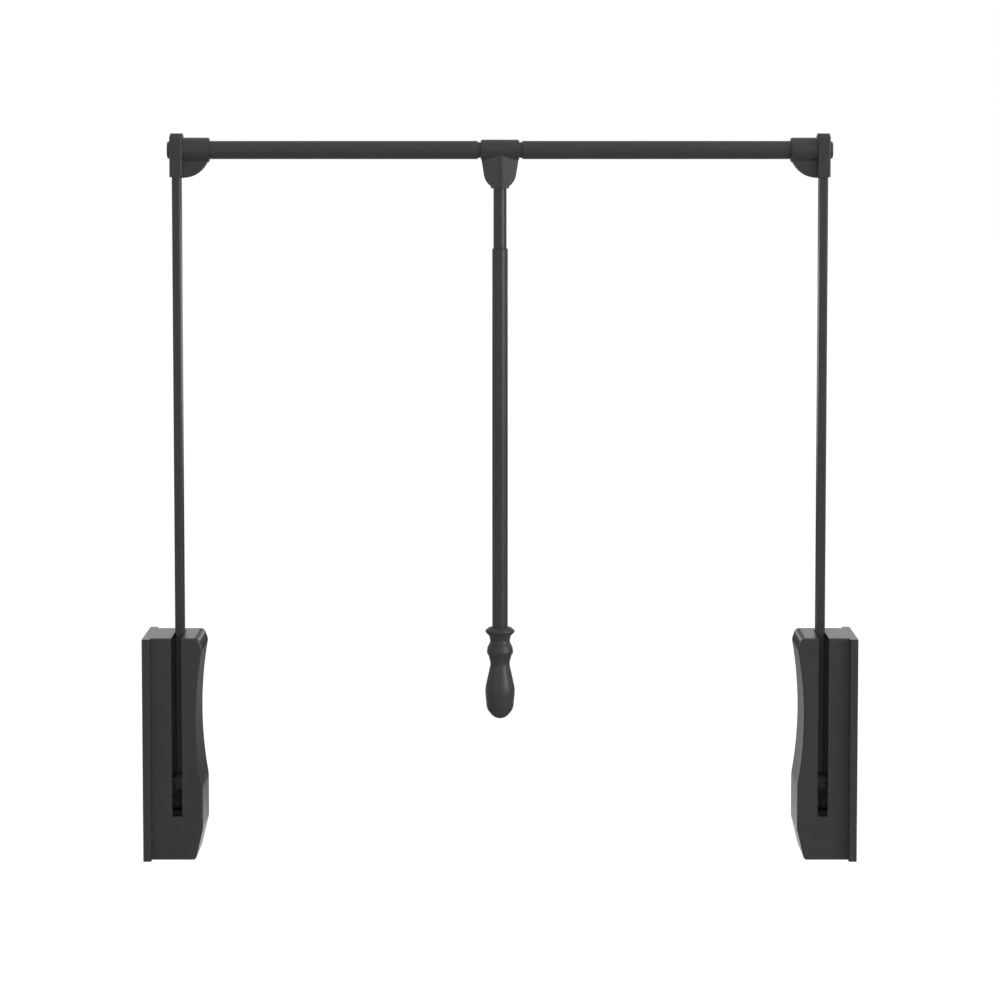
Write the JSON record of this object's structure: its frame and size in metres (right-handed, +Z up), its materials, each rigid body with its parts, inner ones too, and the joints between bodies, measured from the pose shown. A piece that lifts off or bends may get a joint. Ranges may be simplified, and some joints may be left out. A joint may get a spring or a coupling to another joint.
{
  "type": "pull down closet rod",
  "caption": "Pull down wardrobe rod: telescoping hanging rod on spring-loaded arms that swing down from wall housings, with a central pull rod and turned handle.",
  "frame": {"origin": "midway between the two wall plates, midway in depth, at the lower ends of the housings", "axes": "+X to the right seen from the front, +Y to the back of the wardrobe, +Z up; arms raised, rod collapsed"},
  "size_m": [0.86, 0.117, 0.875],
  "materials": {
    "black_frame": "black coated sheet",
    "black_nylon": "black nylon",
    "black_screw": "blackened",
    "cast_foot": "black painted casting",
    "coated_arm": "satin powder coat",
    "coated_inner_tube": "satin powder coat",
    "coated_pull_rod": "satin powder coat",
    "coated_pull_tube": "satin powder coat",
    "coated_tube": "satin powder coat",
    "damper_barrel": "smooth",
    "moulded_cover": "fine moulded texture",
    "moulded_elbow": "satin moulded",
    "moulded_plate": "fine moulded texture",
    "moulded_tee": "satin moulded",
    "nylon": "natural nylon",
    "rubber": "matte",
    "spring_wire": "oiled spring steel",
    "turned_handle": "satin moulded",
    "zinc_steel": "zinc plated"
  },
  "bodies": {
    "left_housing": {"left_wall_plate": "moulded_plate", "left_cover": "moulded_cover", "left_frame": "black_frame", "left_frame_screws": "zinc_steel", "left_cover_screws": "black_screw", "left_pivot_shaft": "zinc_steel", "left_shaft_clip": "zinc_steel", "left_spring_anchor": "zinc_steel", "left_spring": "spring_wire", "left_stop_pin": "zinc_steel", "left_stop_sleeve": "rubber", "left_rest_bumper": "rubber", "left_damper": "damper_barrel", "left_damper_clip": "nylon"},
    "left_arm_set": {"left_arm": "coated_arm", "left_arm_foot": "cast_foot", "left_foot_rivets": "zinc_steel", "left_pivot_bush": "nylon", "left_crank_pin": "black_screw", "left_elbow": "moulded_elbow", "left_rod_bolt": "black_screw", "left_tube_plug": "nylon", "left_outer_tube": "coated_tube"},
    "left_plunger": {"left_damper_plunger": "nylon"},
    "right_housing": {"right_wall_plate": "moulded_plate", "right_cover": "moulded_cover", "right_frame": "black_frame", "right_frame_screws": "zinc_steel", "right_cover_screws": "black_screw", "right_pivot_shaft": "zinc_steel", "right_shaft_clip": "zinc_steel", "right_spring_anchor": "zinc_steel", "right_spring": "spring_wire", "right_stop_pin": "zinc_steel", "right_stop_sleeve": "rubber", "right_rest_bumper": "rubber", "right_damper": "damper_barrel", "right_damper_clip": "nylon"},
    "right_arm_set": {"right_arm": "coated_arm", "right_arm_foot": "cast_foot", "right_foot_rivets": "zinc_steel", "right_pivot_bush": "nylon", "right_crank_pin": "black_screw", "right_elbow": "moulded_elbow", "right_rod_bolt": "black_screw", "right_tube_plug": "nylon", "right_outer_tube": "coated_tube"},
    "right_plunger": {"right_damper_plunger": "nylon"},
    "rod_core": {"inner_tube": "coated_inner_tube", "locating_pin": "zinc_steel"},
    "pull_upper": {"tee": "moulded_tee", "tee_screw": "black_screw", "pull_rod": "coated_pull_rod"},
    "pull_lower": {"pull_tube": "coated_pull_tube", "guide_bush": "black_nylon", "handle": "turned_handle", "handle_screw": "black_screw"}
  },
  "joints": [
    {"name": "width_adjust", "type": "slide", "parent": "left_housing", "child": "right_housing", "axis": [1, 0, 0], "range_m": [-0.006, 0.29]},
    {"name": "arm_swing", "type": "hinge", "parent": "left_housing", "child": "left_arm_set", "pos_m": [-0.3895, 0.0105, 0.078], "axis": [1, 0, 0], "range_deg": [0, 95], "stiffness_Nm_per_rad": 11.1, "springref_deg": -58.44, "deforming": ["left_spring"]},
    {"name": "right_arm_swing", "type": "hinge", "parent": "right_housing", "child": "right_arm_set", "pos_m": [0.3895, 0.0105, 0.078], "axis": [1, 0, 0], "range_deg": [0, 95], "stiffness_Nm_per_rad": 11.1, "springref_deg": -58.44, "deforming": ["right_spring"]},
    {"name": "left_damper_stroke", "type": "slide", "parent": "left_housing", "child": "left_plunger", "axis": [0, 0, 1], "range_m": [0, 0.008]},
    {"name": "right_damper_stroke", "type": "slide", "parent": "right_housing", "child": "right_plunger", "axis": [0, 0, 1], "range_m": [0, 0.008]},
    {"name": "rod_centring", "type": "slide", "parent": "left_arm_set", "child": "rod_core", "axis": [1, 0, 0], "range_m": [-0.003, 0.145]},
    {"name": "pull_swing", "type": "hinge", "parent": "rod_core", "child": "pull_upper", "pos_m": [0, 0.0105, 0.855], "axis": [1, 0, 0], "continuous": true},
    {"name": "pull_extend", "type": "slide", "parent": "pull_upper", "child": "pull_lower", "axis": [0, 0, -1], "range_m": [-0.071, 0.3]}
  ],
  "couplings": [
    {"joint": "right_arm_swing", "follows": "arm_swing", "ratio": 1},
    {"joint": "left_damper_stroke", "follows": "arm_swing", "m_per_rad": 0.0048},
    {"joint": "right_damper_stroke", "follows": "arm_swing", "m_per_rad": 0.0048},
    {"joint": "rod_centring", "follows": "width_adjust", "ratio": 0.5}
  ]
}
